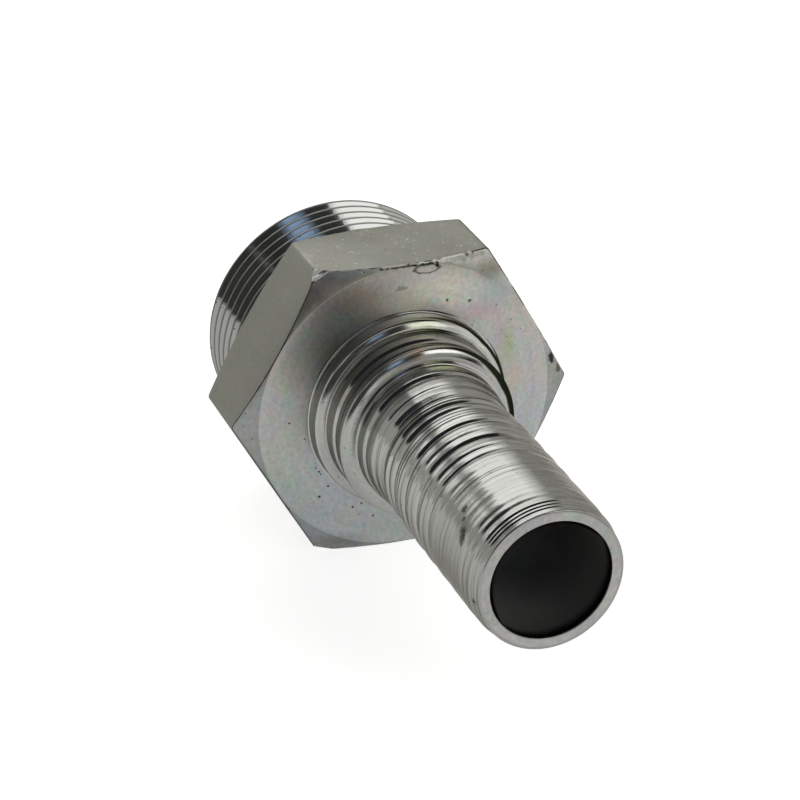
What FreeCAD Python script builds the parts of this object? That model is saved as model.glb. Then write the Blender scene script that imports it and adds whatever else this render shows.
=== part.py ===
import FreeCAD, Part
import os
import math

# Crimp insert for a hydraulic hose: one turned and milled steel piece.
# Millimetres, +X along the bore toward the hose end, +Z up.
# Origin: on the bore axis, in the plane where the hexagon meets the ferrule collar.
# It lies on one flat of its hexagon, with its axis level.

os.makedirs("parts", exist_ok=True)

# Hexagon
hex_flats = 41.0
hex_length = 12.5
front_chamfer_circle = 40.6
front_chamfer_deg = 26.0
back_chamfer_circle = 40.8
back_chamfer_deg = 20.0

# Connection thread, metric fine, with the cone seat for a tube behind it
thread_major = 36.0
thread_pitch = 2.0
thread_length = 17.2
thread_relief_length = 3.8
thread_relief_depth = 1.45
thread_end_chamfer = 1.5
seat_mouth = 27.9
seat_half_deg = 12.0
tube_socket = 25.1
tube_socket_depth = 12.0
throat_half_deg = 45.0
wall_under_relief = 0.4

# Collar that carries the crimped ferrule
flange_diameter = 26.9
flange_length = 2.95
flange_edge = 0.7
root_fillet = 0.45
land_diameter = 24.2
lock_groove_start = 5.0
lock_groove_end = 7.3
lock_groove_depth = 0.42
lock_groove_wall = 0.7
collar_length = 8.85
collar_edge = 0.75
shoulder_fillet = 0.75

# Hose tail
bore_diameter = 15.8
bore_edge = 0.2
tail_length = 48.4
neck_diameter = 20.05
neck_end = 10.9
neck_step_length = 0.5
tail_diameter = 19.6
tip_diameter = 18.8
tip_taper = 2.2
tip_edge = 0.38
groove_pitch = 4.0
groove_width = 1.0
groove_depth = 0.27
first_groove = 15.95

# Grip grooves, worn unevenly into the tail by the tool: steps of the pitch from the first
# groove, then width and depth as shares of a full groove
grip_grooves = [
    (-0.175, 1.85, 1.22),
    (0.51, 1.10, 0.74),
    (0.93, 1.45, 1.11),
    (2.00, 1.00, 1.00),
    (3.00, 1.00, 1.00),
    (4.005, 0.90, 0.74),
    (4.81, 0.65, 0.44),
    (7.25, 0.85, 0.37),
]

# Part of a groove's width that the wall on its hexagon side takes
near_wall = 0.55

# Struck corners of the hexagon: angle of the corner from +Z toward +Y, how far the blow
# reaches along the corner and into it, and how far the blow is turned from square
struck_corners = [
    (-30.0, 2.9, 1.5, 0.0),
    (-150.0, 4.2, 1.0, 11.5),
]


def deg(angle):
    return math.radians(angle)


def point(x, r):
    return FreeCAD.Vector(x, 0, r)


class Profile:
    """Half section drawn point by point, later turned about the bore axis."""

    def __init__(self, x, r):
        self.here = point(x, r)
        self.start = self.here
        self.edges = []

    def line(self, x, r):
        there = point(x, r)
        self.edges.append(Part.LineSegment(self.here, there).toShape())
        self.here = there

    def corner(self, centre_x, centre_r, radius, from_deg, to_deg, flats=2):
        """Rounded corner about its centre, as a run of short flats."""
        for index in range(1, flats + 1):
            turn = deg(from_deg + (to_deg - from_deg) * index / flats)
            self.line(centre_x + radius * math.cos(turn), centre_r + radius * math.sin(turn))

    def turned(self):
        self.line(self.start.x, self.start.z)
        face = Part.Face(Part.Wire(self.edges))
        return face.revolve(FreeCAD.Vector(0, 0, 0), FreeCAD.Vector(1, 0, 0), 360)


# Turned body: core under the thread and the hexagon, collar and tail
thread_radius = thread_major / 2
relief_radius = thread_radius - thread_relief_depth
core_radius = relief_radius - wall_under_relief
thread_face = -hex_length - thread_length
relief_start = -hex_length - thread_relief_length
mouth_radius = seat_mouth / 2
socket_radius = tube_socket / 2
bore_radius = bore_diameter / 2
seat_length = (mouth_radius - socket_radius) / math.tan(deg(seat_half_deg))
throat_length = (socket_radius - bore_radius) / math.tan(deg(throat_half_deg))
socket_floor = thread_face + tube_socket_depth
flange_radius = flange_diameter / 2
land_radius = land_diameter / 2
neck_radius = neck_diameter / 2
tail_radius = tail_diameter / 2
tip_radius = tip_diameter / 2

section = Profile(thread_face, mouth_radius)
section.line(thread_face, core_radius)
section.line(0, core_radius)

# Collar: flange against the hexagon, land with the lock groove, shoulder
section.line(0, flange_radius)
section.line(flange_length - flange_edge, flange_radius)
section.corner(flange_length - flange_edge, flange_radius - flange_edge, flange_edge, 90, 0, 3)
section.line(flange_length, land_radius + root_fillet)
section.corner(flange_length + root_fillet, land_radius + root_fillet, root_fillet, 180, 270)
section.line(lock_groove_start, land_radius)
section.line(lock_groove_start + lock_groove_wall, land_radius - lock_groove_depth)
section.line(lock_groove_end - lock_groove_wall, land_radius - lock_groove_depth)
section.line(lock_groove_end, land_radius)
section.line(collar_length - collar_edge, land_radius)
section.corner(collar_length - collar_edge, land_radius - collar_edge, collar_edge, 90, 0)
section.line(collar_length, neck_radius + shoulder_fillet)
section.corner(
    collar_length + shoulder_fillet, neck_radius + shoulder_fillet, shoulder_fillet, 180, 270
)

# Tail: neck, then the grip grooves, then the tapered and rounded tip
section.line(neck_end, neck_radius)
section.line(neck_end + neck_step_length, tail_radius)
for steps, width_share, depth_share in grip_grooves:
    near = first_groove + steps * groove_pitch
    width = width_share * groove_width
    section.line(near, tail_radius)
    section.line(near + width * near_wall, tail_radius - depth_share * groove_depth)
    section.line(near + width, tail_radius)
section.line(tail_length - tip_edge - tip_taper, tail_radius)
section.line(tail_length - tip_edge, tip_radius)
section.corner(tail_length - tip_edge, tip_radius - tip_edge, tip_edge, 90, 0)

# Bore: tail mouth, straight bore, throat, tube socket and cone seat
section.line(tail_length, bore_radius + bore_edge)
section.line(tail_length - bore_edge, bore_radius)
section.line(socket_floor + throat_length, bore_radius)
section.line(socket_floor, socket_radius)
section.line(thread_face + seat_length, socket_radius)
body = section.turned()

# Hexagon, its corners turned off by a cone at each end
corner_radius = hex_flats / 2 / math.cos(deg(30))
outside = corner_radius * 1.05
front_circle = front_chamfer_circle / 2
back_circle = back_chamfer_circle / 2
front_slope = math.tan(deg(front_chamfer_deg))
back_slope = math.tan(deg(back_chamfer_deg))
corners = []
for index in range(7):
    turn = deg(30 + 60 * index)
    corners.append(
        FreeCAD.Vector(-hex_length, corner_radius * math.sin(turn), corner_radius * math.cos(turn))
    )
bar = Part.Face(Part.makePolygon(corners)).extrude(FreeCAD.Vector(hex_length, 0, 0))

inside = core_radius * 0.95
cone = Profile(-hex_length, inside)
cone.line(-hex_length, back_circle)
cone.line(-hex_length + (outside - back_circle) * back_slope, outside)
cone.line(-(outside - front_circle) * front_slope, outside)
cone.line(0, front_circle)
cone.line(0, inside)
hexagon = bar.common(cone.turned())

# Corners struck flat, the upper and the lower one on the -Y side
for corner_deg, nick_length, nick_depth, nick_turn in struck_corners:
    spare = nick_depth * 0.6
    slope = nick_depth / nick_length
    blow = Part.makePolygon([
        point(-nick_length - spare, corner_radius + spare * slope),
        point(spare, corner_radius + spare * slope),
        point(spare, corner_radius - (nick_length + spare) * slope),
        point(-nick_length - spare, corner_radius + spare * slope),
    ])
    wedge = Part.Face(blow).extrude(FreeCAD.Vector(0, hex_flats / 4, 0))
    wedge.translate(FreeCAD.Vector(0, -hex_flats / 8, 0))
    wedge.rotate(point(0, corner_radius), FreeCAD.Vector(1, 0, 0), nick_turn)
    wedge.rotate(FreeCAD.Vector(0, 0, 0), FreeCAD.Vector(1, 0, 0), -corner_deg)
    hexagon = hexagon.cut(wedge)

# Thread: a 60 degree groove with a truncated bottom, swept along a right-hand helix
thread_depth = 0.6134 * thread_pitch
above = 0.06 * thread_pitch
half_mouth = thread_pitch * 7 / 16 + above * math.tan(deg(30))
half_floor = thread_pitch * 7 / 16 - thread_depth * math.tan(deg(30))
lead_in = 1.5 * thread_pitch
turns_length = thread_length - thread_relief_length + 2 * thread_pitch
helix = Part.makeHelix(thread_pitch, turns_length, thread_radius)
tooth = Part.makePolygon([
    FreeCAD.Vector(thread_radius + above, 0, -half_mouth),
    FreeCAD.Vector(thread_radius + above, 0, half_mouth),
    FreeCAD.Vector(thread_radius - thread_depth, 0, half_floor),
    FreeCAD.Vector(thread_radius - thread_depth, 0, -half_floor),
    FreeCAD.Vector(thread_radius + above, 0, -half_mouth),
])
groove = Part.Wire(helix).makePipeShell([tooth], True, True)
groove.rotate(FreeCAD.Vector(0, 0, 0), FreeCAD.Vector(0, 1, 0), 90)
groove.translate(FreeCAD.Vector(thread_face - lead_in, 0, 0))

# The threaded bar is cut first, then turned down to its end chamfer and its relief
bar_start = FreeCAD.Vector(thread_face - thread_pitch / 2, 0, 0)
bar_length = thread_length + thread_pitch
threaded_bar = Part.makeCylinder(thread_radius, bar_length, bar_start, FreeCAD.Vector(1, 0, 0))
stud = Profile(thread_face, inside)
stud.line(thread_face, thread_radius - thread_end_chamfer)
stud.line(thread_face + thread_end_chamfer, thread_radius)
stud.line(relief_start - thread_relief_depth, thread_radius)
stud.line(relief_start, relief_radius)
stud.line(-hex_length, relief_radius)
stud.line(-hex_length, inside)
thread = threaded_bar.cut(groove).common(stud.turned())

insert = body.fuse(hexagon).fuse(thread).removeSplitter()
insert.exportStep(os.path.join("parts", "hose_insert.step"))
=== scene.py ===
import math

import bmesh
import bpy
from mathutils import Matrix, Vector


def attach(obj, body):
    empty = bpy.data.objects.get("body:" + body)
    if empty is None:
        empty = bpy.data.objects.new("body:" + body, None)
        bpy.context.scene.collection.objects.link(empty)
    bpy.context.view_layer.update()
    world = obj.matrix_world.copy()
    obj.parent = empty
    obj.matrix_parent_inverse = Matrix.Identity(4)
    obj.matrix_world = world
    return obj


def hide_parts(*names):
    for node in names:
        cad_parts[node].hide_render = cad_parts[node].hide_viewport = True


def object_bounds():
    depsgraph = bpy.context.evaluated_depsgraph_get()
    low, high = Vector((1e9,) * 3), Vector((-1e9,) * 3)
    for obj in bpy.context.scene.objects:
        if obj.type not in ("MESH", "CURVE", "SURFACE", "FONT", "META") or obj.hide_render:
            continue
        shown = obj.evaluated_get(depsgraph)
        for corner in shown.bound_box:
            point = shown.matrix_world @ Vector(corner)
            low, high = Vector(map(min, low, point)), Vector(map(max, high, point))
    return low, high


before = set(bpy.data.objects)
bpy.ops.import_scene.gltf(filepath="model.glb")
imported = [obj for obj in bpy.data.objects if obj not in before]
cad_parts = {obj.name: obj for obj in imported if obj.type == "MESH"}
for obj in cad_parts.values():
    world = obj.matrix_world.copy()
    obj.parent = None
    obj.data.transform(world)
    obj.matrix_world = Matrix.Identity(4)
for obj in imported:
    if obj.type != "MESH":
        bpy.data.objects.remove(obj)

cad_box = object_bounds()
MM = 0.001

# ---------------------------------------------------------------- sizes
# Millimetres, along the bore (x, zero where the hexagon meets the collar) and from its axis (r).
# A run is a list of (x, r, radius that rounds the point).
AF = 41.0
HEX = 12.5
CORNER_R = AF / 2 / math.cos(math.radians(30))
CORNER_ROUND, CORNER_ROUND_DEG = 0.11, 1.35
FRONT_CIRCLE, FRONT_SLOPE = 20.3, math.tan(math.radians(26.0))
BACK_CIRCLE, BACK_SLOPE = 20.4, math.tan(math.radians(20.0))
ARRIS, FRONT_ARRIS = 0.10, 0.17
FLAT_ROWS = (3.6, 3.25, 2.9, 2.5, 2.0, 1.4, 0.7, 0.0)
FACE_RINGS = (FRONT_CIRCLE - 0.08, 19.0, 17.5, 16.0, 14.8, 14.2, 13.81)
# Struck corners: angle, reach along the corner, depth at the front face, turn from square
STRUCK = [(-30.0, 2.9, 1.5, 0.0), (-150.0, 4.2, 1.0, 11.5)]
# Faces that a blow may cut: up to this far in front, behind its reach, round its corner, and at
# least this far from the axis
BLOW_FRONT, BLOW_BEHIND, BLOW_ROUND, BLOW_AXIS = 0.1, 2, 4, 17

THREAD_R, PITCH = 18.0, 2.0
THREAD_FACE = -29.7
THREAD_LEAD = 3.0
END_CHAMFER_R = 16.5
RELIEF_START, RELIEF_R = -16.3, 16.55
GROOVE_DEPTH = 0.6134 * PITCH
HALF_MOUTH = PITCH * 7 / 16
HALF_FLOOR = HALF_MOUTH - GROOVE_DEPTH * math.tan(math.radians(30))
HALF_WALL = (HALF_FLOOR + HALF_MOUTH) / 2
CREST_EDGE = 0.06
# Rows across one pitch, from the middle of a groove to the next
THREAD_ROWS = [
    0.0, HALF_FLOOR, HALF_WALL, HALF_MOUTH - CREST_EDGE, HALF_MOUTH, HALF_MOUTH + CREST_EDGE,
    PITCH - HALF_MOUTH - CREST_EDGE, PITCH - HALF_MOUTH, PITCH - HALF_MOUTH + CREST_EDGE,
    PITCH - HALF_WALL, PITCH - HALF_FLOOR,
]
SEAT_MOUTH = (THREAD_FACE + 0.3, 13.89, 0)
THREAD_MOUTH = [SEAT_MOUTH, (THREAD_FACE, 13.95, 0.1), (THREAD_FACE, 16.0, 0)]
RELIEF = [(RELIEF_START, RELIEF_R, 0), (-12.9, RELIEF_R, 0.2), (-HEX, RELIEF_R + 0.4, 0.2),
          (-HEX, 18.5, 0)]

NECK_R, NECK_SEAM = 10.02, 9.9
FLANGE = [(0, 13.9, 0), (0, 13.45, 0.34), (2.3, 13.45, 0.25), (2.6, 13.0, 0.12), (2.79, 12.62, 0)]
FLANGE_SIDE = [(2.79, 12.62, 0), (2.84, 12.5, 0.05), (2.86, 12.42, 0)]
LAND = [(2.86, 12.42, 0), (2.88, 12.1, 0.38), (5.0, 12.02, 0.15), (5.45, 11.74, 0.15),
        (6.6, 11.79, 0.2), (7.3, 12.1, 0.2), (8.3, 12.1, 0.2), (8.58, 11.6, 0.12), (8.74, 11.1, 0)]
SHOULDER = [(8.74, 11.1, 0), (8.83, 10.8, 0.05), (8.85, 10.6, 0)]
SHOULDER_FOOT = [(8.85, 10.6, 0), (8.86, NECK_R, 0.55), (NECK_SEAM, NECK_R, 0)]

BORE_R, SOCKET_R = 7.9, 12.55
TIP, TAIL_R = 48.4, 9.8
TIP_R, TAPER_START, TAPER_END = 9.4, 45.82, 48.02
NECK = [(NECK_SEAM, NECK_R, 0), (10.9, NECK_R, 0.2), (11.4, TAIL_R, 0)]
TIP_EDGE = [(TAPER_END - 0.03, TIP_R, 0), (TIP, TIP_R, 0.38), (TIP, TIP_R - 0.4, 0)]
END_RING = [(TIP, TIP_R - 0.4, 0), (TIP, BORE_R, 0.2), (TIP - 0.4, BORE_R, 0)]
BORE = [(x, BORE_R, 0) for x in (TIP - 0.4, TIP - 1.0, 40, 30, 20, 10, 0)]
BORE += [(-13.05, BORE_R, 0.3), (-17.7, SOCKET_R, 0.3), (-23.11, SOCKET_R, 0.3), SEAT_MOUTH]

# Slope of the tail's surface in degrees, falling toward the tip where positive, at places
# along it; what the form tool left between two grip grooves repeats every 4 mm. From x = 12 to
# 22 the surface that the slopes give lies up to 0.5 inside the solid's
TAIL_SLOPES = [
    (11.4, 0), (12.3, 0), (12.45, 6), (12.7, -2), (12.9, 7), (13.1, 1), (13.3, 7), (13.5, 9),
    (13.75, 8), (13.8, 20), (13.95, 20), (14.05, 2), (14.2, 8), (14.4, 2), (14.5, 8), (15.15, 8),
    (15.25, 22), (15.9, 24), (16.3, 27), (16.42, 12), (16.55, -24), (16.75, -22), (16.95, -16),
    (17.1, 20), (17.2, 6), (17.9, 6), (18.0, 20), (18.7, 22), (18.8, -20), (19.05, -18), (19.15, 5),
    (19.55, 5), (19.66, 25), (20.3, 27), (20.45, 12), (20.55, -22), (21.05, -20), (21.15, 4),
    (21.9, 3), (22.05, 14), (22.25, 2), (22.5, -16), (22.8, -15), (22.95, 18), (23.1, 6),
    (23.25, -2), (23.9, 0),
]
SCALLOP = [
    (0.0, 0), (0.04, 26), (0.5, 27), (0.58, 0), (0.65, -22), (0.9, -20), (1.0, -12), (1.2, -4),
    (1.35, -9), (1.5, -2), (1.7, -4), (2.3, -2), (2.5, 6), (2.75, 17), (2.95, 14), (3.05, -6),
    (3.3, -5), (3.6, 1), (3.7, 14), (3.8, 6), (3.88, -3), (3.98, 0),
]
# Where a scallop starts, and the share of its slopes that it keeps
SCALLOPS = [(23.95, 1.0), (27.95, 1.0), (31.97, 0.6)]
TAIL_END = [
    (35.15, 0), (35.2, 17), (35.5, 20), (35.6, -17), (35.85, -12), (36.1, 6), (36.4, 10),
    (36.6, -9), (36.9, 2), (37.3, 4), (37.7, -5), (38.5, 0), (39.3, 0), (39.7, 4), (40.1, -5),
    (40.6, 1), (41.1, 4), (41.6, -5), (42.1, 4), (42.6, -5), (43.2, 0), (43.7, 15), (43.9, 4),
    (44.1, -12), (44.5, 0), (44.95, 16), (45.2, 3), (45.4, -10), (45.8, -9), (45.86, -13),
    (46.15, -12), (46.2, 18), (46.38, 18), (46.44, -12), (46.76, -13), (46.8, 20), (46.95, 20),
    (47.0, -12), (47.3, -12), (47.35, 20), (47.5, 20), (47.55, -12), (47.74, -12), (47.8, 10),
    (47.9, 10),
]
# Step along the slopes; span over which the surface comes back to the full radius; distance
# between two rows where it is plain and where it turns by more than the given depth
SLOPE_STEP, DRIFT_SPAN = 0.02, 2.1
PLAIN_STEP, TURN_STEP, TURN_DEPTH = 0.135, 0.055, 0.004
# Angle from which an edge stays sharp; points closer than MERGE become one, and edges shorter
# than SLIVER go, both in metres
SHARP_DEG = 32
MERGE, SLIVER = 1e-6, 1e-7


# ---------------------------------------------------------------- the shape
def columns():
    """Angles round the bore, from straight up toward +Y, closer near the hexagon's corners."""
    found = {round(2.0 * i, 3) for i in range(180)}
    for corner in range(30, 390, 60):
        for step in (0.22, 0.5, 0.95):
            found.add(round((corner - step) % 360, 3))
            found.add(round((corner + step) % 360, 3))
    return sorted(found)


COLUMNS = columns()


def round_row(x, r):
    return [(x, r)] * len(COLUMNS)


def rounded(run):
    """The points (x, r) of a run, its inner points rounded by their radii."""
    points = [(x, r) for x, r, _ in run]
    out = [points[0]]
    for i in range(1, len(points) - 1):
        p = Vector(points[i])
        a = Vector(points[i - 1]) - p
        b = Vector(points[i + 1]) - p
        cut = min(run[i][2], 0.49 * a.length, 0.49 * b.length)
        if cut < 0.005:
            out.append(tuple(p))
            continue
        start = p + a.normalized() * cut
        end = p + b.normalized() * cut
        steps = 3 if cut < 0.15 or a.angle(b) > math.radians(150) else 5 if cut < 0.4 else 9
        for k in range(steps + 1):
            t = k / steps
            out.append(tuple(start * (1 - t) ** 2 + p * 2 * t * (1 - t) + end * t ** 2))
    out.append(points[-1])
    return out


def turned_rows(run, kind, joined=True):
    """Rows of a run that was turned; a joined run leaves its first point to the run before."""
    return [(round_row(x, r), kind) for x, r in rounded(run)[1 if joined else 0:]]


def thread_depth(u):
    """Depth of the thread below its crest, u being the place along one pitch."""
    u = (u + PITCH / 2) % PITCH - PITCH / 2
    return min(GROOVE_DEPTH, max(0.0, (HALF_MOUTH - abs(u)) / math.tan(math.radians(30))))


def thread_rows():
    """Helical rows: each moves one pitch along the bore over one turn.

    The columns turn from +Z toward +Y, so this thread winds left-handed. The solid's thread is
    right-handed: this is a fault of the looks, found too late to mend.
    """
    rows = []
    lead = THREAD_FACE - THREAD_LEAD
    pitches = int((RELIEF_START - THREAD_FACE) / PITCH) + 4
    for pitch in range(-1, pitches):
        for u in THREAD_ROWS:
            row = []
            for deg in COLUMNS:
                shift = PITCH * deg / 360.0
                x = lead + PITCH * pitch + u + shift
                x = min(max(x, THREAD_FACE), RELIEF_START)
                r = THREAD_R - thread_depth(x - lead - shift)
                r = min(r, END_CHAMFER_R + (x - THREAD_FACE), RELIEF_R + (RELIEF_START - x))
                row.append((x, r))
            crest = HALF_MOUTH < u <= PITCH - HALF_MOUTH + CREST_EDGE
            rows.append((row, "crest" if crest else "thread"))
    return rows


def hexagon_r(deg):
    """Distance from the axis to the hexagon, its corners rounded a little."""
    off = abs((deg + 30.0) % 60.0 - 30.0)
    r = AF / 2 / math.cos(math.radians(off))
    if off > 30.0 - CORNER_ROUND_DEG:
        r -= CORNER_ROUND * ((off - (30.0 - CORNER_ROUND_DEG)) / CORNER_ROUND_DEG) ** 3
    return r


def hexagon_row(kind, front, offset, sunk):
    """A row along the hexagon's front or back edge, set off along the bore and toward the axis."""
    row = []
    for deg in COLUMNS:
        r = hexagon_r(deg)
        edge = -HEX + max(0.0, r - BACK_CIRCLE) * BACK_SLOPE
        if front:
            edge = -max(0.0, r - FRONT_CIRCLE) * FRONT_SLOPE
        row.append((edge + offset, r - sunk))
    return row, kind


def hexagon_rows():
    """The hexagon from its back face to its front face."""
    rows = [(round_row(-HEX, BACK_CIRCLE - 0.12), "face")]
    rows.append(hexagon_row("flat", False, -ARRIS * BACK_SLOPE * 0.5, ARRIS))
    rows.append(hexagon_row("arris", False, ARRIS * 0.25, ARRIS * 0.25))
    rows.append(hexagon_row("arris", False, ARRIS, 0.0))
    for back in FLAT_ROWS:
        rows.append(hexagon_row("flat", True, -ARRIS - back, 0.0))
    rows.append(hexagon_row("arris", True, -ARRIS * 0.25, ARRIS * 0.25))
    rows.append(hexagon_row("mark", True, FRONT_ARRIS * FRONT_SLOPE, FRONT_ARRIS))
    rows.append((round_row(-0.02, FRONT_CIRCLE + 0.04), "cone"))
    rows += [(round_row(0.0, r), "face") for r in FACE_RINGS]
    return rows


def head_rows():
    """Rows of (x, r) for every column, from the thread's face to the neck behind the collar."""
    rows = turned_rows(THREAD_MOUTH, "plain", joined=False)
    rows += thread_rows()
    rows += turned_rows(RELIEF, "plain", joined=False)
    rows += hexagon_rows()
    rows += turned_rows(FLANGE, "collar")
    rows += turned_rows(FLANGE_SIDE, "face")
    rows += turned_rows(LAND, "collar")
    rows += turned_rows(SHOULDER, "face")
    rows += turned_rows(SHOULDER_FOOT, "collar")
    return rows


def tail_profile():
    """(x, depth) along the tail, added up from its slopes."""
    slopes = list(TAIL_SLOPES)
    for start, share in SCALLOPS:
        slopes += [(start + x, slope * share) for x, slope in SCALLOP]
    slopes += TAIL_END
    profile = []
    depth, x, k = 0.0, slopes[0][0], 0
    while x < slopes[-1][0]:
        while slopes[k + 1][0] < x:
            k += 1
        (xa, ta), (xb, tb) = slopes[k], slopes[k + 1]
        slope = ta + (tb - ta) * (x - xa) / max(xb - xa, 1e-6)
        profile.append((x, depth))
        depth += SLOPE_STEP * math.tan(math.radians(slope))
        x += SLOPE_STEP
    # the surface rises back to the full radius: take out the slow drift, keep the marks
    return [(x, depth - min(d for other, d in profile if abs(other - x) < DRIFT_SPAN))
            for x, depth in profile]


def tail_cut():
    """(x, depth) of the rows that the tail needs, closer together where its surface turns."""
    profile = tail_profile()
    last = len(profile) - 1
    kept = []
    for i, (x, depth) in enumerate(profile):
        turn = abs(profile[max(i - 2, 0)][1] + profile[min(i + 2, last)][1] - 2 * depth)
        gap = x - kept[-1][0] if kept else math.inf
        if gap > PLAIN_STEP or (turn > TURN_DEPTH and gap > TURN_STEP) or i == last:
            kept.append((x, depth))
    return kept


def tail_rows():
    """Rows from the neck over the grooved tail to its mouth, then back through the bore."""
    rows = turned_rows(NECK, "turned", joined=False)
    for x, cut in tail_cut():
        taper = (TAIL_R - TIP_R) * max(0.0, (x - TAPER_START) / (TAPER_END - TAPER_START))
        row = []
        for deg in COLUMNS:
            # the tool cut unevenly round the tail
            turn = math.radians(deg)
            share = 1 + 0.12 * math.sin(turn + 0.7 * x) + 0.08 * math.sin(3 * turn - 1.3 * x)
            shift = 0.05 * math.sin(turn + 1.0 + 0.4 * x) * min(1.0, (TIP - x) / 3)
            row.append((x + shift, TAIL_R - taper - cut * share))
        rows.append((row, "turned"))
    rows += turned_rows(TIP_EDGE, "turned", joined=False)
    rows += turned_rows(END_RING, "end")
    rows += turned_rows(BORE, "bore", joined=False)
    return rows


def strike_corner(bm, material, deg, reach, depth, turn):
    """Cuts a struck corner off along the plane that the blow left, and closes the cut."""
    out = Vector((0, math.sin(math.radians(deg)), math.cos(math.radians(deg))))
    tilted = Matrix.Rotation(math.radians(turn), 3, "X") @ out
    normal = (tilted * reach + Vector((depth, 0, 0))).normalized()
    on = (out * CORNER_R + Vector((-reach, 0, 0))) * MM
    near = []
    for face in bm.faces:
        middle = face.calc_center_median() / MM
        beside = -reach - BLOW_BEHIND < middle.x < BLOW_FRONT and middle.dot(out) > BLOW_AXIS
        if beside and (middle - out * CORNER_R).length < reach + BLOW_ROUND:
            near += [face, *face.edges, *face.verts]
    # each once, in an order that a set would lose, so that every run cuts the same way
    geom = list(dict.fromkeys(near))
    cut = bmesh.ops.bisect_plane(bm, geom=geom, dist=SLIVER, plane_co=on, plane_no=normal,
                                 clear_outer=True)
    edges = [e for e in cut["geom_cut"] if isinstance(e, bmesh.types.BMEdge) and e.is_boundary]
    for face in bmesh.ops.edgeloop_fill(bm, edges=edges)["faces"]:
        face.material_index = material


def closing_point(rows, j):
    """Where row j comes back to after one turn: a threaded row meets the one a pitch further on."""
    row, kind = rows[j]
    if kind not in ("thread", "crest"):
        return row[0]
    later, later_kind = rows[j + len(THREAD_ROWS)]
    return later[0] if later_kind in ("thread", "crest") else (RELIEF_START, RELIEF_R)


def skin(name, rows, kinds, strikes=()):
    """A mesh from rows of (x, r) round the bore, its faces marked by how they were machined."""
    bm = bmesh.new()
    made = []
    for j, (row, kind) in enumerate(rows):
        verts = []
        for (x, r), deg in zip(row + [closing_point(rows, j)], COLUMNS + [360.0]):
            turn = math.radians(deg)
            verts.append(bm.verts.new(Vector((x, r * math.sin(turn), r * math.cos(turn))) * MM))
        made.append((verts, kinds.index(kind)))
    for (a, _), (b, kind) in zip(made, made[1:]):
        for i in range(len(COLUMNS)):
            bm.faces.new((a[i], a[i + 1], b[i + 1], b[i])).material_index = kind
    bmesh.ops.remove_doubles(bm, verts=bm.verts, dist=MERGE)
    bmesh.ops.dissolve_degenerate(bm, edges=bm.edges, dist=SLIVER)
    for strike in strikes:
        strike_corner(bm, kinds.index("strike"), *strike)
    bmesh.ops.recalc_face_normals(bm, faces=bm.faces)
    mesh = bpy.data.meshes.new(name)
    bm.to_mesh(mesh)
    bm.free()
    mesh.polygons.foreach_set("use_smooth", [True] * len(mesh.polygons))
    mesh.set_sharp_from_angle(angle=math.radians(SHARP_DEG))
    obj = bpy.data.objects.new(name, mesh)
    bpy.context.scene.collection.objects.link(obj)
    return obj


# ---------------------------------------------------------------- shader nodes
# How a patch is drawn: filled, or fading outward; a number above 0 keeps only its outline
FILLED, FADING = 0, -1


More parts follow.
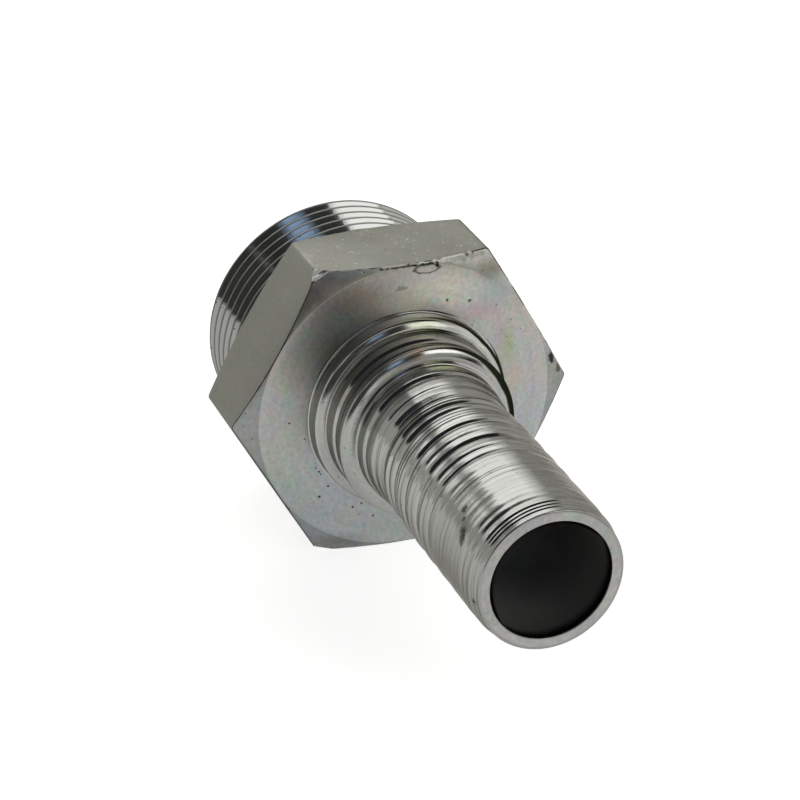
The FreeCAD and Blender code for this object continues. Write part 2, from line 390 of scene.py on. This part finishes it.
class Nodes:
    """Short names for the shader nodes of one material."""

    def __init__(self, name):
        self.mat = bpy.data.materials.new(name)
        self.mat.use_nodes = True
        self.tree = self.mat.node_tree
        self.tree.nodes.clear()
        self.bsdf = self.add("ShaderNodeBsdfPrincipled")
        self.link(self.bsdf.outputs[0], self.add("ShaderNodeOutputMaterial").inputs["Surface"])
        self.where = self.add("ShaderNodeTexCoord").outputs["Object"]
        split = self.add("ShaderNodeSeparateXYZ")
        self.link(self.where, split.inputs[0])
        self.x, self.y, self.z = (split.outputs[axis] for axis in "XYZ")

    def add(self, kind, **values):
        node = self.tree.nodes.new(kind)
        for key, value in values.items():
            setattr(node, key, value)
        return node

    def link(self, a, b):
        self.tree.links.new(a, b)

    def put(self, value, socket):
        """Links an output to the socket, or sets it to a number or a colour."""
        if isinstance(value, bpy.types.NodeSocket):
            self.link(value, socket)
        elif isinstance(value, (int, float)):
            socket.default_value = value
        else:
            socket.default_value = tuple(value) + (1.0,)

    def set(self, **values):
        """Sets or links inputs of the surface; an underscore stands for a space."""
        for key, value in values.items():
            self.put(value, self.bsdf.inputs[key.replace("_", " ")])

    def scaled(self, x, y, z):
        node = self.add("ShaderNodeMapping")
        node.inputs["Scale"].default_value = (x, y, z)
        self.link(self.where, node.inputs["Vector"])
        return node.outputs[0]

    def noise(self, scale, detail=3.0, rough=0.5, vector=None, distortion=0.0):
        node = self.add("ShaderNodeTexNoise")
        node.inputs["Scale"].default_value = scale
        node.inputs["Detail"].default_value = detail
        node.inputs["Roughness"].default_value = rough
        node.inputs["Distortion"].default_value = distortion
        self.link(vector or self.where, node.inputs["Vector"])
        return node.outputs["Fac"]

    def cells(self, scale):
        """Distance from the middle of the nearest cell."""
        node = self.add("ShaderNodeTexVoronoi", feature="F1")
        node.inputs["Scale"].default_value = scale
        self.link(self.where, node.inputs["Vector"])
        return node.outputs["Distance"]

    def ramp(self, fac, stops):
        node = self.add("ShaderNodeValToRGB")
        elements = node.color_ramp.elements
        while len(elements) < len(stops):
            elements.new(0.5)
        for element, (place, colour) in zip(elements, stops):
            element.position = place
            element.color = tuple(colour) + (1.0,)
        self.link(fac, node.inputs[0])
        return node.outputs[0]

    def grey(self, fac, low, high, start=0.0, end=1.0):
        """From low at start to high at end, held beyond them."""
        node = self.add("ShaderNodeMapRange")
        node.inputs["From Min"].default_value = start
        node.inputs["From Max"].default_value = end
        node.inputs["To Min"].default_value = low
        node.inputs["To Max"].default_value = high
        self.link(fac, node.inputs["Value"])
        return node.outputs[0]

    def mix(self, fac, a, b, mode="MIX"):
        node = self.add("ShaderNodeMix", data_type="RGBA", blend_type=mode)
        for socket, value in ((node.inputs[0], fac), (node.inputs[6], a), (node.inputs[7], b)):
            self.put(value, socket)
        return node.outputs[2]

    def math(self, what, a, b=0.0):
        node = self.add("ShaderNodeMath", operation=what)
        self.put(a, node.inputs[0])
        self.put(b, node.inputs[1])
        return node.outputs[0]

    def vector(self, what, a, b=(0, 0, 0), output=0):
        node = self.add("ShaderNodeVectorMath", operation=what)
        self.link(a, node.inputs[0])
        node.inputs[1].default_value = b
        return node.outputs[output]

    def from_axis(self):
        """Distance from the bore's axis."""
        return self.vector("LENGTH", self.scaled(0.0, 1.0, 1.0), output="Value")

    def spot(self, at, size, ragged, ring):
        """1 within a ragged patch of that size round a place, drawn as ring says."""
        away = self.vector("SUBTRACT", self.where, tuple(c * MM for c in at))
        shrunk = self.vector("MULTIPLY", away, tuple(1 / (c * MM) for c in size))
        far = self.vector("LENGTH", shrunk, output="Value")
        rough = 0.45 if ring == FILLED else 0.12
        reach = self.math("ADD", far, self.grey(ragged, -rough, rough, 0.3, 0.7))
        if ring == FADING:
            return self.grey(reach, 1.0, 0.0, 0.0, 1.3)
        if ring == FILLED:
            return self.grey(reach, 1.0, 0.0, 0.65, 1.15)
        off = self.math("ABSOLUTE", self.math("SUBTRACT", reach, 1.0))
        return self.grey(off, 1.0, 0.0, ring * 0.5, ring * 1.6)

    def bump(self, height, distance, strength, after=None):
        node = self.add("ShaderNodeBump")
        node.inputs["Strength"].default_value = strength
        node.inputs["Distance"].default_value = distance
        self.link(height, node.inputs["Height"])
        if after is not None:
            self.link(after, node.inputs["Normal"])
        return node.outputs[0]


# ---------------------------------------------------------------- colours and marks
ZINC = (0.45, 0.455, 0.438)
DARK, BROWN, OLIVE = (0.02, 0.022, 0.02), (0.10, 0.075, 0.05), (0.13, 0.13, 0.07)
SHADOW, ROOT_GRIME_AND_SHADE, BORE_SHADE = (0.012, 0.016, 0.008), (0.14, 0.155, 0.09), (0.003, 0.003, 0.003)
STAIN, SMUDGE = (0.05, 0.045, 0.04), (0.20, 0.19, 0.17)

# How far a mark of the front face reaches back from it
FACE_REACH = 8.0


def on_face(y, z, wide, high, colour, strength, ring=FILLED):
    return (0, y, z), (FACE_REACH, wide, high), colour, strength, ring


# Dots on the front face: y, z, size
DOTS = [
    (5.6, 14.5, 0.20), (8.8, 14.0, 0.22), (9.2, 10.3, 0.15), (0.1, 20.4, 0.20), (8.6, 20.3, 0.26),
    (9.5, 20.3, 0.15), (-3.6, 20.2, 0.20), (-16.2, 0.2, 0.16), (-14.1, -2.5, 0.12),
    (-12.1, -7.7, 0.15), (-12.5, -7.1, 0.12), (-11.8, -8.1, 0.12), (-10.8, -10.1, 0.20),
    (-12.0, -11.4, 0.18), (-7.3, -13.9, 0.16), (-10.0, -13.8, 0.12), (-4.4, -15.7, 0.14),
    (-6.1, -13.5, 0.12), (13.4, 9.0, 0.12), (11.6, 6.4, 0.12), (16.2, 8.7, 0.12),
    (12.6, 12.7, 0.13),
]
FACE_MARKS = [on_face(y, z, size, size, DARK, 0.95) for y, z, size in DOTS] + [
    on_face(2.7, 19.45, 1.7, 0.62, (0.09, 0.085, 0.04), 0.8, 0.14),
    on_face(4.1, 19.75, 0.35, 0.35, DARK, 0.9),
    on_face(-0.9, 20.15, 3.0, 0.16, BROWN, 0.9),
    on_face(2.6, 20.05, 1.7, 0.20, DARK, 0.8),
    on_face(-0.9, 17.1, 0.9, 0.30, OLIVE, 0.45),
    on_face(10.0, 12.3, 3.4, 1.5, (0.62, 0.36, 0.42), 0.50, FADING),
    on_face(14.4, 6.4, 1.1, 3.6, (0.46, 0.50, 0.20), 0.60, FADING),
    on_face(11.8, 14.6, 2.6, 2.6, (0.32, 0.52, 0.54), 0.45, FADING),
    on_face(15.4, 2.0, 1.2, 2.6, (0.62, 0.45, 0.36), 0.40, FADING),
    on_face(13.2, 8.6, 0.8, 2.4, (0.62, 0.42, 0.50), 0.40, FADING),
    on_face(21.0, 3.4, 0.50, 1.15, DARK, 0.95),
    on_face(22.3, 1.6, 0.40, 0.9, BROWN, 0.85),
    on_face(-11.5, 17.5, 5.0, 3.4, (0.20, 0.13, 0.10), 0.55, FADING),
    on_face(-5.5, 16.5, 3.2, 1.6, (0.52, 0.36, 0.20), 0.45, FADING),
    on_face(8.0, 20.0, 3.0, 0.5, OLIVE, 0.45),
    on_face(12.3, 17.8, 2.4, 1.4, BROWN, 0.60, FADING),
    on_face(-9.5, -19.0, 4.5, 1.4, OLIVE, 0.45, FADING),
]
# Painted shade and painted light: a dark patch on the -Y side and a light patch near the top of the
# front face
# Broad tones of the front face, as the photograph shows them: place, size, factor
FACE_LIGHT_AND_SHADE = [((0, -10.2, 9.6), (FACE_REACH, 6.4, 6.0), (0.42, 0.46, 0.44)),
              ((0, 2.2, 15.8), (FACE_REACH, 8.5, 4.0), (1.4, 1.4, 1.28))]
# Marks of the collar and the tail: place, size, colour, strength, ring
TAIL_MARKS = [
    ((41.0, -8.5, 4.9), (1.6, 1.3, 1.7), SMUDGE, 0.60, FADING),
    ((39.0, -7.6, 6.2), (0.45, 0.6, 0.5), DARK, 0.75, FILLED),
    ((40.1, -8.1, 5.6), (0.32, 0.4, 0.35), DARK, 0.70, FILLED),
    ((41.4, -8.7, 4.5), (0.65, 0.7, 0.8), STAIN, 0.85, FILLED),
    ((42.0, -9.0, 3.8), (0.55, 0.6, 0.8), STAIN, 0.85, FILLED),
    ((16.0, -9.7, 1.3), (0.3, 0.3, 0.28), DARK, 1.0, FILLED),
    ((23.9, -9.8, -0.7), (0.2, 0.3, 0.2), DARK, 0.9, FILLED),
    ((18.2, -9.2, 3.3), (0.15, 0.3, 0.15), DARK, 0.8, FILLED),
    ((33.4, -8.3, 5.2), (0.15, 0.3, 0.15), DARK, 0.7, FILLED),
    ((47.2, -9.6, -1.9), (0.5, 0.4, 0.5), DARK, 0.85, FILLED),
    ((9.6, 1.6, 9.9), (1.0, 2.6, 1.0), (0.34, 0.38, 0.14), 0.6, FADING),
    ((8.1, -1.9, 11.7), (1.0, 1.2, 1.0), (0.66, 0.46, 0.30), 0.6, FADING),
    ((2.5, 1.0, 12.4), (0.9, 3.6, 1.4), (0.20, 0.24, 0.08), 0.6, FADING),
]
# Painted dark reflections: dark lines on the +Y side, where the edges of the collar and the neck
# turn down: middle, half the width near the top and further round, and the last Y that the line
# reaches
ALL_ROUND = 99
COLLAR_DARK_REFLECTIONS = [
    (1.76, 0.16, 0.85, ALL_ROUND), (2.87, 0.13, 0.05, 5.5), (2.98, 0.05, 0.07, ALL_ROUND),
    (3.50, 0.06, 0.05, 6.5), (6.02, 0.17, 0.10, 6.0), (8.12, 0.15, 0.60, ALL_ROUND),
]
NECK_DARK_REFLECTIONS = [(10.72, 0.10, 0.34, ALL_ROUND)]
# Painted dark reflection, a dark line on the front face along the collar's foot: radius at Y = 10
# mm, its growth per Y, half the width
FOOT_R, FOOT_GROWTH, FOOT_HALF = 13.45, 0.10, 0.30
# Slanting line in the bore, black with painted shade on its hexagon side: how far its x moves per y
# and per z
SHADE_LINE_PER_Y, SHADE_LINE_PER_Z = -1.704, 2.345


# ---------------------------------------------------------------- materials
def passivation_and_underside_shade(n, base, share):
    """Faint colours of the passivating layer, and painted shade: darker and bluer toward the
    underside.
    """
    bands = n.noise(120.0, 1.5, 0.4, distortion=1.2)
    tint = n.ramp(bands, [(0.30, (0.95, 1.0, 0.97)), (0.42, (1.0, 0.99, 0.90)),
                          (0.50, (1.0, 0.94, 0.94)), (0.58, (0.95, 0.95, 1.02)),
                          (0.68, (0.93, 1.0, 0.95))])
    base = n.mix(share, base, tint, "MULTIPLY")
    # painted shade: the underside darker and bluer
    return n.mix(n.grey(n.z, 0.95, 0.0, -0.014, 0.010), base, (0.70, 0.76, 0.81), "MULTIPLY")


def pits(n):
    """1 in the pits of the plating, in scattered groups."""
    return n.math("MULTIPLY", n.grey(n.cells(820.0), 1.0, 0.0, 0.06, 0.15),
                  n.grey(n.noise(310.0, 2.0), 0.0, 1.0, 0.52, 0.60))


def facing_rings(n, base):
    """Faint rings round the bore, left by the facing cut."""
    polar = n.add("ShaderNodeCombineXYZ")
    for socket, value, scale in zip(polar.inputs, (n.from_axis(), n.y, n.z), (1500.0, 70.0, 70.0)):
        n.link(n.math("MULTIPLY", value, scale), socket)
    cut = n.noise(1.0, 4.0, 0.65, polar.outputs[0])
    tone = n.ramp(cut, [(0.3, (0.93, 0.93, 0.92)), (0.7, (1.06, 1.06, 1.06))])
    return n.mix(1.0, base, tone, "MULTIPLY")


def painted_foot_reflection(n, base):
    """Painted dark reflection: the dark line on the front face along the collar's foot, on its +Y
    side.
    """
    foot = n.math("ADD", n.math("MULTIPLY", n.y, FOOT_GROWTH), (FOOT_R - 10 * FOOT_GROWTH) * MM)
    off = n.math("ABSOLUTE", n.math("SUBTRACT", n.from_axis(), foot))
    line = n.math("MULTIPLY", n.grey(off, 1.0, 0.0, FOOT_HALF * 0.6 * MM, FOOT_HALF * 1.1 * MM),
                  n.grey(n.y, 0.0, 1.0, 0.0080, 0.0105))
    return n.mix(line, base, SHADOW)


def thread_root_grime_and_shade(n, base):
    """Grime and painted shade in the bottom of the thread, darker toward the axis."""
    ragged = n.math("ADD", n.from_axis(), n.grey(n.noise(300.0, 3.0), -0.0002, 0.0002))
    return n.mix(n.grey(ragged, 1.0, 0.0, 0.01685, 0.01755), base, ROOT_GRIME_AND_SHADE)


def crystals(n, base, share):
    """Mottled crystals of the plating, tone and tint apart."""
    tone = n.ramp(n.noise(1500.0, 4.0, 0.7), [(0.3, (0.80, 0.80, 0.79)), (0.7, (1.16, 1.16, 1.16))])
    hue = n.ramp(n.noise(520.0, 3.0, 0.6), [(0.36, (0.90, 1.04, 0.94)), (0.46, (1.0, 1.0, 1.0)),
                                           (0.54, (1.07, 0.97, 0.98)), (0.64, (0.97, 0.98, 1.06))])
    return n.mix(share, n.mix(share, base, tone, "MULTIPLY"), hue, "MULTIPLY")


def dark_reflection_lines(n, base, dark_reflections):
    """Painted dark reflections: dark lines round the part that begin near its top and widen down
    the +Y side.
    """
    along = n.math("ADD", n.x, n.grey(n.noise(420.0, 3.0), -0.00003, 0.00003, 0.3, 0.7))
    side = n.grey(n.y, 0.0, 1.0, -0.002, 0.0025)
    soft = 0.04 * MM
    for middle, narrow, wide, last_y in dark_reflections:
        reach = n.grey(n.y, narrow * MM, wide * MM, 0.002, 0.0095)
        off = n.math("ABSOLUTE", n.math("SUBTRACT", along, middle * MM))
        line = n.grey(n.math("SUBTRACT", off, reach), 1.0, 0.0, -soft, soft)
        ends = n.grey(n.y, 1.0, 0.0, (last_y - 1.5) * MM, (last_y + 1) * MM)
        base = n.mix(n.math("MULTIPLY", n.math("MULTIPLY", line, ends), side), base, SHADOW)
    return base


def stains(n, base, height, marks):
    """Marks of the given places, also a little sunk."""
    ragged = n.noise(1500.0, 3.0, 0.6)
    for at, size, colour, strength, ring in marks:
        mask = n.spot(at, size, ragged, ring)
        base = n.mix(n.math("MULTIPLY", mask, strength), base, colour)
        height = n.math("ADD", height, n.math("MULTIPLY", mask, -1.5 * strength))
    return base, height


def specks(n, base, share):
    """Bright specks, few of them beyond the hexagon's upper corner on the -Y side."""
    dot = n.math("MULTIPLY", n.grey(n.cells(2100.0), 1.0, 0.0, 0.10, 0.30),
                 n.grey(n.noise(900.0, 2.0), 0.0, 1.0, 0.52, 0.68))
    dot = n.math("MULTIPLY", dot, n.grey(n.y, 0.12, 1.0, -0.0122, -0.0112))
    return n.mix(n.math("MULTIPLY", dot, share), base, (0.90, 0.91, 0.89))


def lathe_rings(n, base, normal, share):
    """Fine rings of the lathe in tone and relief; the last third of the tail is a little darker."""
    streak = n.noise(1.0, 4.0, 0.7, n.scaled(1500.0, 16.0, 16.0))
    tone = n.ramp(streak, [(0.32, (0.84, 0.84, 0.83)), (0.62, (1.07, 1.07, 1.07))])
    base = n.mix(1.0, base, tone, "MULTIPLY")
    base = n.mix(n.grey(n.x, 0.0, 1.0, 0.028, 0.036), base, (0.86, 0.86, 0.86), "MULTIPLY")
    rings = n.noise(1.0, 5.0, 0.75, n.scaled(5200.0, 14.0, 14.0))
    coarse = n.noise(1.0, 2.0, 0.5, n.scaled(1500.0, 5.0, 5.0))
    both = n.math("ADD", n.math("MULTIPLY", rings, 0.5), coarse)
    return base, n.bump(both, 0.00006, share, normal)


def plating(name, rough, colour_spread=0.06, shade=1.0, tint=(1, 1, 1), film_and_shade=0.0, root_grime_and_shade=False,
            grain=0.0, dark_reflections=(), light_and_shade_patches=(), marks=(), speckle=0.0, turned=0.0):
    """Bright zinc plating with the traces that the surface carries; shade scales the zinc's colour,
    partly for the finish and partly as painted light and shade.
    """
    n = Nodes(name)
    n.set(Metallic=1.0, Specular_Tint=(0.50, 0.48, 0.45))
    cloud = n.noise(95.0, 4.0, 0.6)
    low, high = shade * (1 - colour_spread), shade * (1 + colour_spread)
    zinc = [c * t for c, t in zip(ZINC, tint)]
    base = n.mix(cloud, [c * low for c in zinc], [c * high for c in zinc])
    # colours of the passivating layer, with painted shade toward the underside
    if film_and_shade:
        base = passivation_and_underside_shade(n, base, film_and_shade)
    pit = pits(n)
    base = n.mix(n.math("MULTIPLY", pit, 0.65), base, (0.05, 0.052, 0.045))
    # facing rings, and the painted dark reflection along the collar's foot
    if film_and_shade:
        base = painted_foot_reflection(n, facing_rings(n, base))
    # grime and painted shade in the bottom of the thread
    if root_grime_and_shade:
        base = thread_root_grime_and_shade(n, base)
    if grain:
        base = crystals(n, base, grain)
    # painted dark reflections along the edges of the collar and the neck
    if dark_reflections:
        base = dark_reflection_lines(n, base, dark_reflections)
    # broad patches of painted light and shade
    for at, size, factor in light_and_shade_patches:
        base = n.mix(n.spot(at, size, cloud, FADING), base, factor, "MULTIPLY")
    height = n.math("ADD", n.math("MULTIPLY", n.noise(2600.0, 3.0, 0.6), 0.35),
                    n.math("MULTIPLY", pit, -2.0))
    if marks:
        base, height = stains(n, base, height, marks)
    if speckle:
        base = specks(n, base, speckle)
    normal = n.bump(height, 0.00002, 0.2 if turned else 0.5)
    dull = n.grey(n.noise(60.0, 3.0), rough * 0.85, rough * 1.2, 0.3, 0.7)
    if turned:
        base, normal = lathe_rings(n, base, normal, turned)
        # duller below, where the part was handled
        dull = n.math("ADD", dull, n.grey(n.z, 0.13, 0.0, 0.0005, 0.0065))
    n.set(Base_Color=base, Roughness=dull, Normal=normal)
    return n.mat


def edge_wear():
    """Front edge of the hexagon: bruised and stained dark in places, bright between them."""
    n = Nodes("edge_wear")
    bruised = (0.04, 0.042, 0.035)
    broken = n.ramp(n.noise(230.0, 3.0, 0.65), [(0.44, bruised), (0.54, (0.50, 0.50, 0.47))])
    left = n.grey(n.y, 1.0, 0.0, -0.0125, -0.0105)
    n.set(Metallic=1.0, Roughness=0.35,
          Base_Color=n.mix(n.math("MULTIPLY", left, 0.85), broken, bruised),
          Normal=n.bump(n.noise(1800.0, 3.0), 0.00003, 0.5))
    return n.mat


def torn_steel_with_painted_glint():
    """Bare torn metal where the corner was struck, ridged by the blow; its near-white, nearly
    non-metallic colour paints the glint of the bare steel.
    """
    n = Nodes("struck_corner")
    ridges = n.noise(1.0, 1.0, 0.4, n.scaled(2300.0, 420.0, 900.0))
    n.set(Metallic=0.15, Roughness=0.25, Specular_IOR_Level=1.0,
          Base_Color=n.ramp(ridges, [(0.38, (0.03, 0.025, 0.025)), (0.43, (1.0, 0.99, 0.99)),
                                     (0.7, (1.0, 1.0, 1.0))]),
          Normal=n.bump(ridges, 0.0006, 1.0))
    return n.mat


def bore_wall():
    """Dull oxidised bore with painted shade: darker toward the mouth of the tail, black just inside
    the mouth and again deep inside beyond a slanting line.
    """
    n = Nodes("bore_wall")
    cloud = n.noise(160.0, 4.0, 0.6)
    base = n.mix(cloud, (0.20, 0.205, 0.20), (0.31, 0.31, 0.30))
    base = n.mix(1.0, base, n.grey(n.x, 1.6, 0.5, 0.030, 0.046), "MULTIPLY")
    # painted shade: black just inside the mouth and deep inside beyond the slanting line
    mouth = n.grey(n.x, 0.0, 1.0, 0.0462, 0.0476)
    slant = n.math("ADD", n.math("MULTIPLY", n.y, SHADE_LINE_PER_Y), n.math("MULTIPLY", n.z, SHADE_LINE_PER_Z))
    beyond = n.math("SUBTRACT", n.math("ADD", slant, TIP * MM), n.x)
    painted_shade = n.math("MAXIMUM", mouth, n.grey(beyond, 0.0, 1.0, -0.0022, -0.0010))
    rings = n.noise(1.0, 3.0, 0.6, n.scaled(2600.0, 30.0, 30.0))
    n.set(Base_Color=n.mix(painted_shade, base, BORE_SHADE), Metallic=n.grey(painted_shade, 0.4, 1.0), Roughness=0.75,
          Normal=n.bump(rings, 0.00005, 0.4))
    return n.mat


def floor_paper():
    """Pale paper, seen white by the camera and in reflections, that keeps its shadows."""
    n = Nodes("floor_paper")
    rays = n.add("ShaderNodeLightPath")
    seen = n.math("MAXIMUM", n.math("MULTIPLY", rays.outputs["Is Camera Ray"], 0.75),
                  n.math("MULTIPLY", rays.outputs["Is Glossy Ray"], 0.48))
    n.set(Roughness=0.9, Specular_IOR_Level=0.2, Emission_Strength=seen, Emission_Color=(1, 1, 1),
          Base_Color=n.mix(n.noise(900.0, 3.0, 0.6), (0.90, 0.90, 0.895), (0.92, 0.92, 0.915)))
    return n.mat


def card_paper(name, colour, half_width, half_height, soft):
    """Dark card, its rim paler by the share soft."""
    n = Nodes(name)
    card = n.mix(n.noise(8.0), [c * 0.8 for c in colour], [c * 1.2 for c in colour])
    if soft:
        across = n.math("MULTIPLY", n.math("ABSOLUTE", n.x), 1 / half_width)
        up = n.math("MULTIPLY", n.math("ABSOLUTE", n.y), 1 / half_height)
        rim = n.grey(n.math("MAXIMUM", across, up), 0.0, 1.0, 1 - soft, 1.0)
        card = n.mix(rim, card, (0.45, 0.45, 0.44))
    n.set(Roughness=0.9, Base_Color=card)
    return n.mat


# ---------------------------------------------------------------- the dressed part
# The looks of the surfaces, by how they were machined
# Each look's shade makes lit and shaded copies of the one zinc plating: partly the finish, partly
# painted light and shade.
looks = {
    "plain": plating("plated_plain", 0.26),
    "thread": plating("plated_thread", 0.07, shade=0.82, root_grime_and_shade=True),
    "crest": plating("plated_crest", 0.32, shade=0.42),
    "face": plating("plated_face", 0.40, shade=1.32, film_and_shade=0.8, grain=0.8, light_and_shade_patches=FACE_LIGHT_AND_SHADE,
                    marks=FACE_MARKS),
    "cone": plating("plated_cone", 0.38, colour_spread=0.28, shade=0.90, film_and_shade=0.6, grain=0.6,
                    marks=FACE_MARKS),
    "flat": plating("plated_flat", 0.55, shade=0.73, tint=(0.99, 1.0, 0.93), grain=0.35,
                    speckle=0.9),
    "collar": plating("plated_collar", 0.10, colour_spread=0.15, grain=0.3, dark_reflections=COLLAR_DARK_REFLECTIONS,
                      marks=TAIL_MARKS, turned=0.5),
    "turned": plating("plated_turned", 0.05, dark_reflections=NECK_DARK_REFLECTIONS, marks=TAIL_MARKS, turned=0.55),
    "end": plating("plated_end", 0.30, colour_spread=0.18, shade=1.02, grain=0.9),
    "bore": bore_wall(),
    "arris": plating("plated_arris", 0.3, colour_spread=0.3, shade=0.8),
    "mark": edge_wear(),
    "strike": torn_steel_with_painted_glint(),
}
kinds = list(looks)
for piece in (skin("insert_head", head_rows(), kinds, STRUCK),
              skin("insert_tail", tail_rows(), kinds)):
    for kind in kinds:
        piece.data.materials.append(looks[kind])
    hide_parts("hose_insert")
    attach(piece, "root")
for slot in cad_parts["hose_insert"].material_slots:
    slot.material = looks["turned"]


# ---------------------------------------------------------------- floor, lights, camera
def sheet(name, half_width, half_height, material):
    """A flat rectangle of the studio."""
    w, h = half_width, half_height
    mesh = bpy.data.meshes.new(name)
    mesh.from_pydata([(-w, -h, 0), (w, -h, 0), (w, h, 0), (-w, h, 0)], [], [(0, 1, 2, 3)])
    mesh.materials.append(material)
    obj = bpy.data.objects.new(name, mesh)
    bpy.context.scene.collection.objects.link(obj)
    return obj


def facing_part(azimuth, elevation, distance):
    """Place and turn of a thing that the part sees there, in degrees and metres."""
    az, el = math.radians(azimuth), math.radians(elevation)
    toward = Vector((math.cos(el) * math.cos(az), math.cos(el) * math.sin(az), math.sin(el)))
    turn = (toward * distance).to_track_quat("Z", "Y").to_matrix().to_4x4()
    return Matrix.Translation(toward * distance) @ turn


def softbox(name, azimuth, elevation, distance, width, height, brightness, colour=(1, 1, 1)):
    """A rectangular lamp."""
    lamp = bpy.data.lights.new(name, "AREA")
    lamp.shape = "RECTANGLE"
    lamp.size, lamp.size_y = width, height
    lamp.energy = brightness * math.pi * width * height
    lamp.color = colour
    obj = bpy.data.objects.new(name, lamp)
    obj.matrix_world = facing_part(azimuth, elevation, distance)
    bpy.context.scene.collection.objects.link(obj)


def back_softbox(near_edge, far_edge=198, across=0.85):
    """A lamp behind the part between two azimuths."""
    half = math.radians(far_edge - near_edge) / 2
    softbox("back_softbox_%d" % near_edge, far_edge - math.degrees(half), 32, 1.0,
            2 * across * math.tan(half), 0.90, 0.217)


def flag(name, azimuth, elevation, distance, width, height, colour, soft=0.0):
    """A dark studio card that only reflections show."""
    card = sheet(name, width / 2, height / 2,
                 card_paper(name, colour, width / 2, height / 2, soft))
    card.matrix_world = facing_part(azimuth, elevation, distance)
    card.visible_camera = False
    card.visible_shadow = False


FLOOR_HALF = 30.0
floor = sheet("floor", FLOOR_HALF, FLOOR_HALF, floor_paper())
floor.location = (0, 0, cad_box[0][2])

# Six lamps on top of each other, each reaching further round, for a soft edge
for edge in (161, 158, 155, 152.5, 150, 147.5):
    back_softbox(edge)
softbox("strip", 205, 14, 1.0, 0.16, 0.34, 1.3)
softbox("front_softbox", 31.2, 28.5, 0.9, 0.371, 0.334, 1.6)
softbox("side_softbox", 64, 12, 1.1, 0.75, 0.60, 0.56, (1.0, 0.98, 0.93))
softbox("blue_pane", 354, 30, 0.85, 0.12, 0.12, 0.60, (0.42, 0.63, 1.0))
softbox("blue_fade", 354, 30, 0.86, 0.19, 0.17, 0.42, (0.45, 0.66, 1.0))

flag("left_flag", 257, 56, 0.95, 1.10, 1.15, (0.02, 0.025, 0.035))
flag("right_flag", 66, 61, 0.95, 0.57, 0.54, (0.02, 0.02, 0.02))
flag("top_flag", 150, 86, 0.90, 0.85, 0.85, (0.02, 0.02, 0.02))
flag("low_flag", 27, 0, 0.14, 0.075, 0.041, (0.02, 0.02, 0.02))
flag("near_flag", 325, 8, 0.18, 0.16, 0.10, (0.10, 0.104, 0.098), 0.16)
flag("far_flag", 350, 27, 1.05, 0.95, 0.68, (0.10, 0.105, 0.10))

world = bpy.data.worlds.new("studio")
bpy.context.scene.world = world
world.use_nodes = True
world.node_tree.nodes["Background"].inputs["Color"].default_value = (0.55, 0.54, 0.515, 1)
world.node_tree.nodes["Background"].inputs["Strength"].default_value = 1.0

# Camera as solved from the photograph's outlines: place, axes, and focal length in pixels of
# its 800 pixels across
SENSOR, FOCAL_PIXELS, PIXELS = 36.0, 3069.95, 800.0
CAMERA_PLACE = (0.3353, -0.1317, 0.1838)
camera = bpy.data.cameras.new("camera")
camera.sensor_width = SENSOR
camera.lens = SENSOR * FOCAL_PIXELS / PIXELS
camera.clip_start = 0.01
right = Vector((0.3575, 0.9338, 0.0130)).normalized()
view = Vector((-0.8305, 0.3243, -0.4528)).normalized()
up = right.cross(view)
right = view.cross(up)
eye = bpy.data.objects.new("camera", camera)
axes = Matrix((right, up, -view)).transposed().to_4x4()
eye.matrix_world = Matrix.Translation(CAMERA_PLACE) @ axes
bpy.context.scene.collection.objects.link(eye)
bpy.context.scene.camera = eye
bpy.context.scene.view_settings.view_transform = "Standard"
